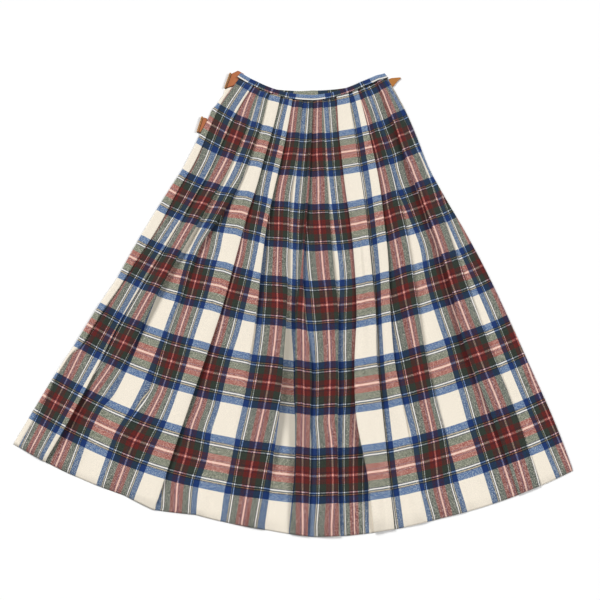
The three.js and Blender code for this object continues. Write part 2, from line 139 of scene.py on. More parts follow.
# Where the check lies on each panel between two folds, from left to right. units: the stripe
# that is followed, counted from the pink line (0), with the cream from 27 on either side. radius
# and angle: where it runs. size and left_size: millimetres a unit right and left of it, at the
# size radii. setts: whole repeats before it.
panels = table(("setts", "units", "radius", "angle", "size_radius", "size", "left_size"), [
    (0, 27, [0.262, 0.32, 0.36, 0.4, 0.44, 0.47, 0.56, 0.6, 0.7, 0.78, 0.85, 0.9, 1, 1.095],
     [-31.5, -31, -29.9, -28.7, -27.8, -27.6, -27.5, -27.6, -27.65, -27.5, -27.3, -27.15, -26.95, -26.9],
     [0.262, 0.4, 0.5, 0.56, 0.9, 1.095], [1.58, 1.7, 1.5, 1.3, 1.35, 1.03]),
    (1, 0, [0.262, 0.29, 0.32, 0.35, 0.39, 0.42, 0.45, 0.5, 0.6, 0.7, 0.8, 0.9, 0.94, 0.97, 1.095],
     [-29.6, -28.65, -27.4, -26.4, -25.6, -25.1, -25, -25.1, -25.3, -25.4, -25.5, -25.5, -25.8, -26, -25.5],
     [0.262, 0.35, 0.45, 0.59, 0.75, 0.9, 1.095], [1.4, 1.6, 1.6, 1.1, 1.2, 1.12, 1.45]),
    (2, -27,
     [0.262, 0.3, 0.33, 0.37, 0.4, 0.44, 0.48, 0.53, 0.57, 0.6, 0.64, 0.68, 0.72, 0.76, 0.8, 0.95, 1, 1.03,
      1.095],
     [-26, -24.3, -23.3, -22.6, -22.3, -22.1, -22.4, -22.5, -22.7, -22.9, -22.8, -22.3, -21.7, -21.5,
      -21.25, -21.2, -21.6, -21.5, -21.2],
     [0.262, 0.35, 0.45, 0.6, 0.85, 1.095], [1.3, 1.5, 1.6, 1.1, 1.16, 1.29]),
    (2, 27,
     [0.262, 0.3, 0.33, 0.37, 0.42, 0.45, 0.48, 0.53, 0.57, 0.6, 0.64, 0.68, 0.72, 0.78, 0.85, 0.9, 0.95, 1,
      1.095],
     [-21.7, -20.5, -19.7, -19.3, -19.1, -19, -19.3, -18.9, -18.4, -17.9, -17.6, -17.3, -17.1, -17, -16.75,
      -16.7, -16.8, -17.1, -17.35],
     [0.262, 0.5, 0.64, 0.9, 1, 1.095], [1.3, 1.2, 1.16, 1.1, 1.5, 1.38]),
    (3, 27,
     [0.262, 0.3, 0.34, 0.4, 0.44, 0.48, 0.54, 0.6, 0.65, 0.7, 0.75, 0.8, 0.85, 0.9, 0.94, 1, 1.04, 1.095],
     [-12.1, -12, -11.8, -11.8, -11.7, -11.4, -11.2, -11, -10.95, -11, -11.1, -11.4, -11.5, -11.5, -11.7,
      -11.5, -11.7, -11.35],
     [0.262, 0.35, 0.45, 0.6, 0.7, 0.8, 0.9, 1, 1.095], [1.1, 1.3, 1.42, 1.2, 1.4, 1.29, 1.31, 1.49, 1.38]),
    (4, 0,
     [0.262, 0.3, 0.33, 0.4, 0.45, 0.49, 0.54, 0.59, 0.64, 0.68, 0.72, 0.76, 0.8, 0.85, 0.9, 0.95, 1,
      1.095],
     [-9.2, -8.8, -8.5, -8.5, -8.75, -8.4, -7.7, -7.2, -6.7, -6.2, -5.95, -5.85, -5.9, -6.05, -6.3, -6.6,
      -6.8, -7],
     [0.262, 0.45, 0.6, 0.7, 0.85, 1, 1.095], [1, 1.12, 1.1, 1.4, 1.5, 1.5, 1.43]),
    (5, -27, [0.262, 0.35, 0.43, 0.5, 0.57, 0.62, 0.69, 0.74, 0.78, 0.85, 0.9, 1, 1.095],
     [-5.7, -5.3, -5.2, -5, -4.5, -4.2, -3.9, -3.6, -3.2, -2.85, -2.55, -2.35, -2.6],
     [0.262, 0.43, 0.6, 1.095], [1.2, 1.2, 0.97, 1.3]),
    (5, 0, [0.262, 0.43, 0.6, 0.72, 0.76, 0.8, 0.85, 0.9, 1, 1.095],
     [1.4, -0.9, -1.85, -2, -1.85, -1.75, -1.6, -1.55, -1.5, -1.35],
     [0.262, 0.6, 0.74, 1.095], [1.2, 0.97, 1.4, 1.5]),
    (6, 0,
     [0.245, 0.29, 0.33, 0.37, 0.4, 0.5, 0.56, 0.62, 0.66, 0.7, 0.74, 0.78, 0.83, 0.88, 0.91, 0.94, 1, 1.05,
      1.095],
     [1.3, 0.8, 0.6, 0.5, 0.7, 0.7, 1, 1.3, 1.6, 1.75, 1.8, 1.8, 1.7, 1.5, 1.4, 1.55, 1.6, 1.5, 1.3],
     [0.262, 0.43, 0.7, 0.76, 0.9, 1, 1.095], [1.1, 1.5, 1.5, 1.37, 1.24, 1.45, 1.55]),
    (7, -27, [0.262, 0.3, 0.43, 0.5, 0.56, 0.6, 0.65, 0.7, 0.75, 0.85, 0.9, 1, 1.095],
     [3.9, 3.8, 3.7, 3.9, 4.1, 4.2, 4, 3.5, 3.1, 2.8, 2.5, 2.2, 2.1],
     [0.262, 0.6, 0.75, 0.9, 1, 1.095], [1.25, 1.2, 1.4, 1.15, 1, 0.95]),
    (7, 43.25, [0.262, 0.45, 0.6, 0.7, 0.8, 0.9, 1, 1.095],
     [12.4, 9.6, 8.8, 7.6, 6.6, 6.2, 6.2, 6.2],
     [0.262], [1.7]),
    (8, 27, [0.262, 0.33, 0.4, 0.44, 0.5, 0.55, 0.6, 0.65, 0.7, 0.77, 0.83, 0.9, 1, 1.095],
     [18.3, 16.5, 14.9, 14.2, 13.1, 12.3, 11.6, 10.9, 10.1, 9.3, 8.8, 8.5, 8.15, 7.98],
     [0.262, 0.43, 0.6, 0.75, 0.9, 1.095], [1.3, 1.45, 1.15, 0.95, 1.25, 1.3]),
    (9, 0,
     [0.25, 0.3, 0.33, 0.39, 0.43, 0.47, 0.5, 0.54, 0.58, 0.62, 0.66, 0.69, 0.73, 0.77, 0.81, 0.86, 0.9,
      0.95, 1, 1.05, 1.095],
     [21, 20.2, 19.4, 18.4, 17.7, 17, 16.4, 15.9, 15.4, 14.9, 14.4, 14.1, 13.85, 13.6, 13.35, 13.1, 12.95,
      12.8, 12.4, 12, 12],
     [0.262, 0.43, 0.59, 0.75, 0.9, 1, 1.095], [0.85, 1.22, 1.43, 1.15, 0.95, 1.22, 1.49],
     [1, 1.2, 1.4, 1.6, 1.5, 1.4, 1.25]),
    (10, -27,
     [0.262, 0.34, 0.4, 0.43, 0.47, 0.5, 0.55, 0.6, 0.65, 0.69, 0.74, 0.8, 0.85, 0.9, 0.95, 1, 1.095],
     [24, 22.3, 20.9, 20.2, 19.9, 19.9, 19.85, 19.6, 18.6, 18.1, 17.8, 17.6, 17.3, 17.1, 16.85, 16.75,
      16.55],
     [0.262, 0.33, 0.4, 0.46, 0.57, 0.66, 0.87, 1.095], [1.39, 1.34, 1.75, 1.45, 1.1, 1.26, 1.42, 1.5]),
    (11, 0,
     [0.25, 0.27, 0.29, 0.31, 0.4, 0.44, 0.46, 0.48, 0.52, 0.57, 0.62, 0.69, 0.75, 0.8, 0.85, 0.93, 1, 1.05,
      1.095],
     [31.4, 30.9, 29.9, 29.1, 26.2, 25.6, 25.2, 24.9, 24.1, 23.5, 22.9, 21.9, 21.5, 21.3, 21.05, 20.9, 20.6,
      20.3, 20],
     [0.262, 0.32, 0.5, 0.9, 1.095], [1.3, 1.45, 1.6, 1.55, 1.5]),
    (12, -27, [0.262, 0.33, 0.4, 0.47, 0.54, 0.6, 0.74, 0.9, 1.095],
     [34, 32.2, 30.3, 28.7, 27, 26.2, 25, 23.9, 23.05],
     [0.262, 0.6, 0.76, 0.95], [1.2, 1.1, 1.4, 1.18]),
])

# The radius of each pink weft line, one line a row, at these angles from left to right.
weft_angles = [-31, -24, -16, -10, -5, 0, 5, 10, 18, 26]
weft_lines = [
    [0.216, 0.216, 0.216, 0.217, 0.218, 0.218, 0.216, 0.215, 0.214, 0.212],
    [0.367, 0.367, 0.367, 0.372, 0.369, 0.369, 0.368, 0.368, 0.370, 0.371],
    [0.530, 0.524, 0.514, 0.523, 0.522, 0.525, 0.525, 0.524, 0.522, 0.524],
    [0.686, 0.681, 0.672, 0.680, 0.681, 0.686, 0.684, 0.683, 0.679, 0.683],
    [0.841, 0.840, 0.838, 0.838, 0.842, 0.847, 0.845, 0.841, 0.837, 0.839],
    [0.995, 0.995, 0.999, 1.000, 1.003, 1.007, 1.006, 1.001, 0.995, 0.996],
    [1.152, 1.152, 1.157, 1.158, 1.161, 1.165, 1.163, 1.158, 1.152, 1.153],
]
sett_units = 86.5

# Soft ridges that the cloth keeps where it was drawn in, and the hem's short ripples. Each runs
# through its points and dies away at both ends. width is half its breadth and height its crest,
# below zero for a hollow, in millimetres. They begin a little below the waist.
ridges = table(("angle", "radius", "width", "height"), [
    ([35, 32.5, 29.7, 27.5, 26, 23.9, 21.6], [0.272, 0.29, 0.315, 0.35, 0.37, 0.413, 0.445], 9, 4),
    ([-24.5, -25.6, -26, -26], [0.78, 0.88, 0.97, 1.06], 12, 3),
    ([-17.6, -18.6, -18.3], [0.5, 0.7, 0.92], 18, 2.2),
    ([-12.5, -12.9, -12.4], [0.42, 0.66, 0.98], 16, 1.8),
    ([-7.6, -7, -7.4], [0.55, 0.8, 1.05], 20, 2),
    ([0.6, 0.9, 0.6], [0.5, 0.75, 1.08], 18, 1.6),
    ([9.6, 8, 6.4], [0.42, 0.7, 0.96], 16, 2),
    ([17.6, 14.6, 12.6], [0.45, 0.7, 0.98], 18, 2.4),
    ([22, 18.4, 17], [0.56, 0.78, 1.04], 14, 2),
    ([26.4, 24.4, 22.9], [0.52, 0.76, 1.02], 14, 2.2),
    ([-28.6, -28.7, -28], [0.55, 0.74, 1], 12, 2),
    ([-20.3, -20.1, -20], [1.02, 1.07, 1.12], 9, 1.6),
    ([-18, -17.8], [1.03, 1.15], 8, 1.3),
    ([-11.2, -11.1, -10.9], [1.02, 1.07, 1.13], 8, 1.7),
    ([-10.1, -9.9], [1.02, 1.15], 8, -1.2),
    ([-4.6, -4.4], [1.02, 1.15], 9, 1.5),
    ([5.9, 5.8], [1.01, 1.16], 8, 1.7),
    ([6.7, 6.6], [1.02, 1.16], 7, -1.2),
    ([8.3, 8.25], [0.98, 1.16], 8, 1.5),
    ([8.9, 8.75], [1, 1.16], 7, -1.1),
    ([9.5, 9.3], [1, 1.16], 8, 1.4),
    ([14.8, 14.6], [0.98, 1.15], 9, 1.5),
    ([15.7, 15.5], [1, 1.15], 8, -1.2),
])
ridges_from = 0.25
ridges_ease = 0.05

# The front's rows run from the waist to the hem and are closer together at the hem.
close_rows_from = 1.078
front_rows = 104
hem_rows = 10
panel_columns = 16
turn_steps = 2
edge_margin = 0.002
longest_mitre = 1.5


def along(xs, ys, x):
    """The value at x on a smooth line through listed points, level past its ends."""
    xs, ys, x = np.array(xs, float), np.array(ys, float), np.clip(x, xs[0], xs[-1])
    if len(xs) < 3:
        return np.interp(x, xs, ys)
    slopes = np.gradient(ys, xs)
    left = np.clip(np.searchsorted(xs, x, side="right") - 1, 0, len(xs) - 2)
    span = xs[left + 1] - xs[left]
    t = (x - xs[left]) / span
    start, end = ys[left], ys[left + 1]
    a, b = slopes[left] * span, slopes[left + 1] * span
    return start + t * (a + t * (3 * (end - start) - 2 * a - b + t * (2 * (start - end) + a + b)))


def arc(line, radius):
    """How far round the fan a listed line lies at each radius, in metres."""
    return np.radians(along(line["radius"], line["angle"], radius)) * radius


def eased(share):
    """A share that starts and ends gently."""
    return share * share * (3 - 2 * share)


def fan_point(angle, radius):
    """X and Y of a place on the skirt."""
    turn = np.radians(angle)
    return fan_centre[0] + radius * np.sin(turn), fan_centre[1] - radius * np.cos(turn)


def ridge_height(angle, radius):
    """How far the soft ridges raise the cloth at a place."""
    height = np.zeros_like(radius)
    for ridge in ridges:
        first, last = ridge["radius"][0], ridge["radius"][-1]
        crest = along(ridge["radius"], ridge["angle"], radius)
        across = np.radians(angle - crest) * radius * 1000
        fade = np.sin(math.pi * np.clip((radius - first) / (last - first), 0, 1)) ** 2
        height += ridge["height"] / 1000 * fade * np.exp(-(across / ridge["width"]) ** 2)
    return height


def weft_units(angle, radius):
    """How far down the check a place is, in units from the first pink weft line."""
    lines = [np.interp(angle, weft_angles, line) for line in weft_lines]
    units = np.zeros_like(radius)
    for number, (line, following) in enumerate(zip(lines, lines[1:])):
        share = (radius - line) / (following - line)
        units = np.where(radius >= line, (number + share) * sett_units, units)
    return units


def warp_units(panel, angle, radius):
    """How far across the check a place on a panel is, in units."""
    mark = along(panel["radius"], panel["angle"], radius)
    right = np.interp(radius, panel["size_radius"], panel["size"])
    left = np.interp(radius, panel["size_radius"], panel.get("left_size", panel["size"]))
    across = np.radians(angle - mark) * radius * 1000
    return panel["setts"] * sett_units + panel["units"] + across / np.where(across > 0, right, left)


def fold_line(fold, hidden, edge, left_width, right_width, radius):
    """One fold at each radius: points across and up, from the upper panel to the lower one,
    each with its share of the right panel's check. A closed fold rounds its upper edge and
    turns back under it and forward again. Where nothing is hidden it opens to a soft slope."""
    side = 1 if fold["over"] == "left" else -1
    narrower = np.minimum(left_width, right_width)
    margin = np.minimum(margin_width, margin_share * narrower)
    open_half = np.minimum(open_width, lap_share * narrower - margin)
    most = lap_share * (left_width if side > 0 else right_width) - margin
    lap = np.clip(hidden * unit_size / 2, 0, np.minimum(deepest_lap, most))
    lift = np.interp(radius, depth_radii, fold["lift"]) / 1000
    pinch = np.interp(radius, depth_radii, fold.get("pinch", 0 * np.array(depth_radii))) / 1000
    lap = np.maximum(lap, np.minimum(pinch, most))
    shut = np.maximum(np.clip(hidden / closing_units, 0, 1), np.clip(pinch / closing_pinch, 0, 1))
    lift = lift + (np.maximum(2 * layer_pitch, lift) - lift) * shut
    top = front_base + lift
    middle = front_base + np.minimum(layer_pitch, lift / 2)
    upper = np.minimum(crease_radius, (top - middle) / 2)
    lower = (middle - front_base) / 2
    low = (middle + front_base) / 2
    closed = np.clip(lap / (2 * crease_radius), 0, 1)
    bends = []
    quarter = [i / turn_steps * math.pi / 2 for i in range(turn_steps + 1)]
    for turn in quarter:
        bends.append((-upper + upper * math.sin(turn), top - upper * (1 - math.cos(turn))))
    for turn in quarter[1:]:
        bends.append((-closed * upper * (1 - math.cos(turn)), top - upper * (1 + math.sin(turn)) + bend_gap))
    for turn in quarter:
        bends.append((-lap + closed * lower * (1 - math.sin(turn)),
                      low + (middle - bend_gap - low) * math.cos(turn)))
    for turn in quarter[1:]:
        bends.append((-lap + lower * (1 - math.cos(turn)), low + (front_base - low) * math.sin(turn)))
    points = []
    for number, (across, z) in enumerate(bends):
        share = number / (len(bends) - 1)
        ease = eased(share)
        open_across = open_half * (2 * share - 1)
        open_z = top - (top - front_base) * ease
        turned = 0 if number < len(bends) // 2 else 1
        right_share = turned * shut + ease * (1 - shut)
        points.append((edge + side * (across * shut + open_across * (1 - shut)),
                       z * shut + open_z * (1 - shut), right_share if side > 0 else 1 - right_share))
    before = np.maximum(lap, upper) * shut + open_half * (1 - shut) + margin
    after = np.maximum(0, lower - lap) * shut + open_half * (1 - shut) + margin
    upper_end = (edge - side * before, top)
    lower_end = (edge + side * after, front_base + 0 * top)
    if side > 0:
        return points, upper_end, lower_end
    return points[::-1], lower_end, upper_end


def panel_line(start, end):
    """The cloth between two folds, easing from one height to the other, on the left panel's check."""
    return [(start[0] + (end[0] - start[0]) * share, start[1] + (end[1] - start[1]) * eased(share),
             0 * start[1]) for share in np.linspace(0, 1, panel_columns)]


def wall_faces(across, z, thickness):
    """Both faces of a wall of even thickness along paths, with mitred corners."""
    run = np.diff(across, axis=1)
    rise = np.diff(z, axis=1)
    length = np.hypot(run, rise)
    run, rise = run / length, rise / length
    run_in, rise_in = (np.concatenate([a[:, :1], a], axis=1) for a in (run, rise))
    run_out, rise_out = (np.concatenate([a, a[:, -1:]], axis=1) for a in (run, rise))
    normal_x = -(rise_in + rise_out)
    normal_z = run_in + run_out
    length = np.hypot(normal_x, normal_z)
    normal_x, normal_z = normal_x / length, normal_z / length
    reach = np.minimum(longest_mitre, 1 / (normal_z * run_out - normal_x * rise_out)) * thickness / 2
    reach_x, reach_z = normal_x * reach, normal_z * reach
    return (across + reach_x, z + reach_z), (across - reach_x, z - reach_z)


def added(name, data):
    """A new object in the scene, at the origin."""
    thing = bpy.data.objects.new(name, data)
    bpy.context.scene.collection.objects.link(thing)
    return thing


def smooth_piece(name, mesh, material):
    """A smooth-shaded piece of one material."""
    mesh.polygons.foreach_set("use_smooth", [True] * len(mesh.polygons))
    mesh.update()
    mesh.materials.append(material)
    return added(name, mesh)


def cloth_mesh(name, points, check, material):
    """A closed wall from rings of points, shape (rows, ring, 3), with the check's place on
    each point as a UV map, in repeats."""
    rows, ring, _ = points.shape
    index = np.arange(rows * ring).reshape(rows, ring)
    right = np.roll(index, -1, axis=1)
    sides = np.stack([index[:-1], index[1:], right[1:], right[:-1]], axis=-1).reshape(-1, 4)
    half = ring // 2
    front, back = index[:, :half], index[:, ::-1][:, :half]
    caps = [np.stack([front[0, :-1], front[0, 1:], back[0, 1:], back[0, :-1]], axis=-1),
            np.stack([front[-1, 1:], front[-1, :-1], back[-1, :-1], back[-1, 1:]], axis=-1)]
    faces = np.concatenate([sides, *caps])
    mesh = bpy.data.meshes.new(name)
    mesh.from_pydata(points.reshape(-1, 3).tolist(), [], faces.tolist())
    repeats = check.reshape(-1, 2)[faces.reshape(-1)] / sett_units
    mesh.uv_layers.new(name="check").data.foreach_set("uv", repeats.astype(np.float32).ravel())
    return smooth_piece(name, mesh, material)


# Yarn colours of the check as seen on a screen, from the pink line outward, and the unit where
# each begins. The warp's colours are a little deeper than the weft's.
yarns = table(("from", "warp", "weft"), [
    (0, (0.85, 0.6, 0.56), (0.93, 0.68, 0.62)),  # pink
    (0.9, (0.312, 0.116, 0.112), (0.445, 0.17, 0.152)),  # red
    (2.2, (0.2, 0.115, 0.19), (0.29, 0.15, 0.19)),  # purple
    (3.2, (0.312, 0.116, 0.112), (0.445, 0.17, 0.152)),  # red
    (8, (0.156, 0.184, 0.168), (0.238, 0.27, 0.222)),  # green
    (15, (0.13, 0.14, 0.155), (0.13, 0.145, 0.18)),  # black
    (15.9, (0.93, 0.94, 0.95), (0.93, 0.95, 0.98)),  # white
    (17.1, (0.13, 0.145, 0.18), (0.13, 0.16, 0.21)),  # black
    (18.5, (0.66, 0.6, 0.45), (0.7, 0.6, 0.4)),  # yellow
    (19.2, (0.115, 0.16, 0.25), (0.12, 0.16, 0.25)),  # black
    (20.4, (0.11, 0.195, 0.37), (0.122, 0.232, 0.46)),  # blue
    (27, (0.949, 0.91, 0.843), (0.949, 0.91, 0.843)),  # cream
])
# Two crossed yarns seen from afar mix evenly on the scale of their screen values' fourth roots.
mix_power = 4.0
screen_power = 2.2


def new_group(name, inputs, outputs, tree_kind="ShaderNodeTree"):
    """An empty node group with named sockets, and its two end nodes."""
    group = bpy.data.node_groups.new(name, tree_kind)
    for label, kind, value in inputs:
        socket = group.interface.new_socket(label, in_out="INPUT", socket_type="NodeSocket" + kind)
        if value is not None:
            socket.default_value = value
    for label, kind in outputs:
        group.interface.new_socket(label, in_out="OUTPUT", socket_type="NodeSocket" + kind)
    return group, group.nodes.new("NodeGroupInput"), group.nodes.new("NodeGroupOutput")


def feed(tree, node, values):
    """Sets a node's inputs, by name or number, to fixed values or to other nodes' outputs."""
    for label, value in values.items():
        if isinstance(value, bpy.types.NodeSocket):
            tree.links.new(value, node.inputs[label])
        else:
            node.inputs[label].default_value = value


def new_material(name):
    """A material, its node tree and its shader."""
    material = bpy.data.materials.new(name)
    material.use_nodes = True
    return material, material.node_tree, material.node_tree.nodes["Principled BSDF"]


def maths(tree, operation, *values):
    """A Math node on sockets or numbers, and its result."""
    node = tree.nodes.new("ShaderNodeMath")
    node.operation = operation
    feed(tree, node, dict(enumerate(values)))
    return node.outputs[0]


def blended(tree, share, first, second):
    """A colour Mix node on sockets or colours, and its result."""
    node = tree.nodes.new("ShaderNodeMix")
    node.data_type = "RGBA"
    feed(tree, node, {0: share, 6: first, 7: second})
    return node.outputs[2]


def noise(tree, where, scale, detail=2.0):
    """A Noise node's value."""
    node = tree.nodes.new("ShaderNodeTexNoise")
    feed(tree, node, {"Scale": scale, "Detail": detail, "Vector": where})
    return node.outputs["Fac"]


def bumped(tree, height, strength, distance):
    """A Bump node's normal."""
    node = tree.nodes.new("ShaderNodeBump")
    feed(tree, node, {"Strength": strength, "Distance": distance, "Height": height})
    return node.outputs["Normal"]


# Each system of the check's stripes: from a place in repeats to the yarn's colour.
stripe_groups = {}
for system in ("warp", "weft"):
    group, group_in, group_out = new_group(
        system + " stripes", [("Repeats", "Float", 0.0)], [("Colour", "Color")])
    from_pink = maths(group, "PINGPONG", group_in.outputs["Repeats"], 0.5)
    ramp = group.nodes.new("ShaderNodeValToRGB")
    ramp.color_ramp.interpolation = "CONSTANT"
    while len(ramp.color_ramp.elements) < len(yarns):
        ramp.color_ramp.elements.new(1.0)
    for element, yarn in zip(ramp.color_ramp.elements, yarns):
        element.position = yarn["from"] / (sett_units / 2)
        element.color = (*yarn[system], 1)
    feed(group, ramp, {"Fac": maths(group, "MULTIPLY", from_pink, 2.0)})
    for_mixing = group.nodes.new("ShaderNodeGamma")
    feed(group, for_mixing, {"Gamma": 1 / mix_power, "Color": ramp.outputs["Color"]})
    feed(group, group_out, {"Colour": for_mixing.outputs["Color"]})
    stripe_groups[system] = group

# The 2/2 twill: which yarn is on top, and the height of the diagonal ribs with a soft nap. The
# scales are of noises. The depths and the share are how much each takes part in the yarn on top.
wander_scale, wander_depth = 260.0, 0.9
nap_scale, nap_detail = 900.0, 3.0
speckle_scale, speckle_detail, speckle_depth = 500.0, 1.0, 0.9
rib_width, rib_share, rib_relief = 0.0026, 0.22, 0.5
twill_group, twill_in, twill_out = new_group(
    "twill", [("Repeats", "Vector", None), ("Rib", "Float", rib_width),
              ("Fuzz", "Float", None)],
    [("Warp share", "Float"), ("Height", "Float"), ("Nap", "Float")])


def twilled(operation, *values):
    """A Math node of the twill."""
    return maths(twill_group, operation, *values)


place = twill_group.nodes.new("ShaderNodeTexCoord").outputs["Object"]
split = twill_group.nodes.new("ShaderNodeSeparateXYZ")
feed(twill_group, split, {0: twill_in.outputs["Repeats"]})
warp_place, weft_place = (twilled("MULTIPLY", split.outputs[axis], sett_units * unit_size) for axis in (0, 1))
diagonal = twilled("DIVIDE", twilled("ADD", warp_place, weft_place), twill_in.outputs["Rib"])
wander = twilled("MULTIPLY", noise(twill_group, place, wander_scale), wander_depth)
rib = twilled("SINE", twilled("MULTIPLY", twilled("ADD", diagonal, wander), 2 * math.pi))
nap = noise(twill_group, place, nap_scale, nap_detail)
loose = twilled("MULTIPLY", twilled("SUBTRACT", nap, 0.5), twill_in.outputs["Fuzz"])
speckle = twilled("SUBTRACT", noise(twill_group, place, speckle_scale, speckle_detail), 0.5)
speckle = twilled("MULTIPLY", speckle, speckle_depth)
uneven = twilled("ADD", twilled("ADD", loose, speckle), 0.5)
share = twilled("ADD", twilled("MULTIPLY", rib, rib_share), uneven)
relief = twilled("ADD", twilled("MULTIPLY", rib, rib_relief), nap)
feed(twill_group, twill_out, {"Warp share": share, "Height": relief, "Nap": nap})


def wool(name, rib_depth, fuzz):
    """Napped wool: the two crossed systems of stripes mixed by the twill."""
    material, tree, shader = new_material(name)
    where = tree.nodes.new("ShaderNodeUVMap")
    where.uv_map = "check"
    parts = tree.nodes.new("ShaderNodeSeparateXYZ")
    feed(tree, parts, {0: where.outputs["UV"]})
    colours = []
    for axis, system in enumerate(("warp", "weft")):
        stripes = tree.nodes.new("ShaderNodeGroup")
        stripes.node_tree = stripe_groups[system]
        feed(tree, stripes, {"Repeats": parts.outputs[axis]})
        colours.append(stripes.outputs["Colour"])
    twill = tree.nodes.new("ShaderNodeGroup")
    twill.node_tree = twill_group
    feed(tree, twill, {"Fuzz": fuzz, "Repeats": where.outputs["UV"]})
    crossed = blended(tree, twill.outputs["Warp share"], colours[1], colours[0])
    # The nap tints the colour by a percent or so, lighter where its relief stands high and darker where it
    # lies low: random tone of the wool, and painted shade in the nap's low parts.
    shade = tree.nodes.new("ShaderNodeMapRange")
    feed(tree, shade, {"Value": twill.outputs["Nap"], "From Min": 0.3, "From Max": 0.7,
                       "To Min": 0.985, "To Max": 1.012})
    shaded = tree.nodes.new("ShaderNodeVectorMath")
    shaded.operation = "SCALE"
    feed(tree, shaded, {0: crossed, "Scale": shade.outputs["Result"]})
    screen = tree.nodes.new("ShaderNodeGamma")
    feed(tree, screen, {"Gamma": mix_power * screen_power, "Color": shaded.outputs["Vector"]})
    feed(tree, shader, {"Base Color": screen.outputs["Color"], "Roughness": 0.95, "Specular IOR Level": 0.15,
                        "Normal": bumped(tree, twill.outputs["Height"], 0.5, rib_depth),
                        "Sheen Weight": 0.08, "Sheen Roughness": 0.6})
    return material


check_wool = wool("check wool", rib_depth=0.0003, fuzz=0.35)

row_radii = np.concatenate([np.linspace(fold_radii[0], close_rows_from, front_rows)[:-1],
                            np.linspace(close_rows_from, fold_radii[-1], hem_rows)])
left_edge = arc(front_left_edge, row_radii)
right_edge = arc(front_right_edge, row_radii)
level = front_base + 0 * row_radii
raised = level + along(depth_radii, edge_lift, row_radii) / 1000
path = [(left_edge, raised, 0 * level)]
path_panel = [0]
start = (left_edge + edge_margin, raised)
fold_edges = [arc({"radius": fold_radii, "angle": fold["angle"]}, row_radii) for fold in folds]
panel_widths = np.diff([left_edge, *fold_edges, right_edge], axis=0)
for number, fold in enumerate(folds):
    # A fold hides what is missing of the check between its two panels.
    at_fold = along(fold_radii, fold["angle"], row_radii), row_radii
    hidden = warp_units(panels[number + 1], *at_fold) - warp_units(panels[number], *at_fold)
    bends, before_fold, after_fold = fold_line(fold, hidden, fold_edges[number], panel_widths[number],
                                               panel_widths[number + 1], row_radii)
    path += panel_line(start, before_fold) + bends
    path_panel += [number] * (panel_columns + len(bends))
    start = after_fold
path += panel_line(start, (right_edge - edge_margin, level))
path.append((right_edge, level, 0 * level))
path_panel += [len(folds)] * (panel_columns + 1)

path_across, path_z, right_share = (np.stack(values, axis=1) for values in zip(*path))
faces = wall_faces(path_across, path_z, cloth_wall)
ring_across = np.concatenate([faces[0][0], faces[1][0][:, ::-1]], axis=1)
ring_z = np.concatenate([faces[0][1], faces[1][1][:, ::-1]], axis=1)
ring_panel = path_panel + path_panel[::-1]
ring_share = np.concatenate([right_share, right_share[:, ::-1]], axis=1)
ring_angle = np.degrees(ring_across / row_radii[:, None])
waist = np.interp(ring_angle, front_top["angle"], front_top["radius"]) + band_width + seam / 3
hem = np.interp(ring_angle, hem_line["angle"], hem_line["radius"])
near_waist = np.clip(1 - (row_radii[:, None] - fold_radii[0]) / waist_reach, 0, 1) ** reach_power
near_hem = np.clip(1 - (fold_radii[-1] - row_radii[:, None]) / hem_reach, 0, 1) ** reach_power
ring_radius = row_radii[:, None] + near_waist * (waist - fold_radii[0]) + near_hem * (hem - fold_radii[-1])
x, y = fan_point(ring_angle, ring_radius)
held_down = np.clip((ring_radius - ridges_from) / ridges_ease, 0, 1)
z = ring_z + ridge_height(ring_angle, ring_radius) * held_down
past_back = np.clip((ring_radius - back_hem_radius) / (hem - back_hem_radius), 0, 1) ** droop_power
lying = cloth_wall / 2 + (ring_z - front_base - cloth_wall / 2).clip(0) * hem_fullness
z = z + (np.where(ring_z > front_base, lying + cloth_wall / 2, 0.0) - z) * past_back
warp = np.zeros_like(x)
for column, number in enumerate(ring_panel):
    here = ring_angle[:, column], ring_radius[:, column]
    left_warp = warp_units(panels[number], *here)
    right_warp = warp_units(panels[min(number + 1, len(folds))], *here)
    warp[:, column] = left_warp + (right_warp - left_warp) * ring_share[:, column]
front_check = np.stack([warp, weft_units(ring_angle, ring_radius)], axis=-1)
front = cloth_mesh("skirt_front_cloth", np.stack([x, y, z], axis=-1), front_check, check_wool)
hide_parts("skirt_front")
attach(front, "root")


# The back: the same wool under the front, lying on the surface. It shows as a pale strip down
# the left side, where it reaches past the front's edge.
back_left = {
    "angle": [-36.2, -36.4, -37.9, -39.2, -40.2, -39.2, -38.8, -38.6, -38.4, -38.1, -38.3, -37.7, -37,
              -36.5, -35.9, -35.1, -34.3, -33.5, -32.7, -32.2, -31.25, -31.2, -30.8, -30.7, -30.2],
    "radius": [0.2545, 0.264, 0.271, 0.28, 0.287, 0.293, 0.3, 0.309, 0.316, 0.325, 0.336, 0.347, 0.36,
               0.375, 0.394, 0.415, 0.445, 0.481, 0.575, 0.635, 0.734, 0.793, 0.887, 0.952, 1.097]}
back_right = {"angle": [33.6, 34.9, 34, 31.6, 29.4, 28.7, 28.3, 27.7, 26, 24.5],
              "radius": [0.28, 0.3, 0.32, 0.38, 0.45, 0.52, 0.6, 0.7, 0.9, 1.093]}
back_top = {"angle": [-36, -30, -22.5, -13, -1.6, 8, 17, 25, 33],
            "radius": [0.241, 0.239, 0.236, 0.2285, 0.2223, 0.2228, 0.2255, 0.226, 0.23]}
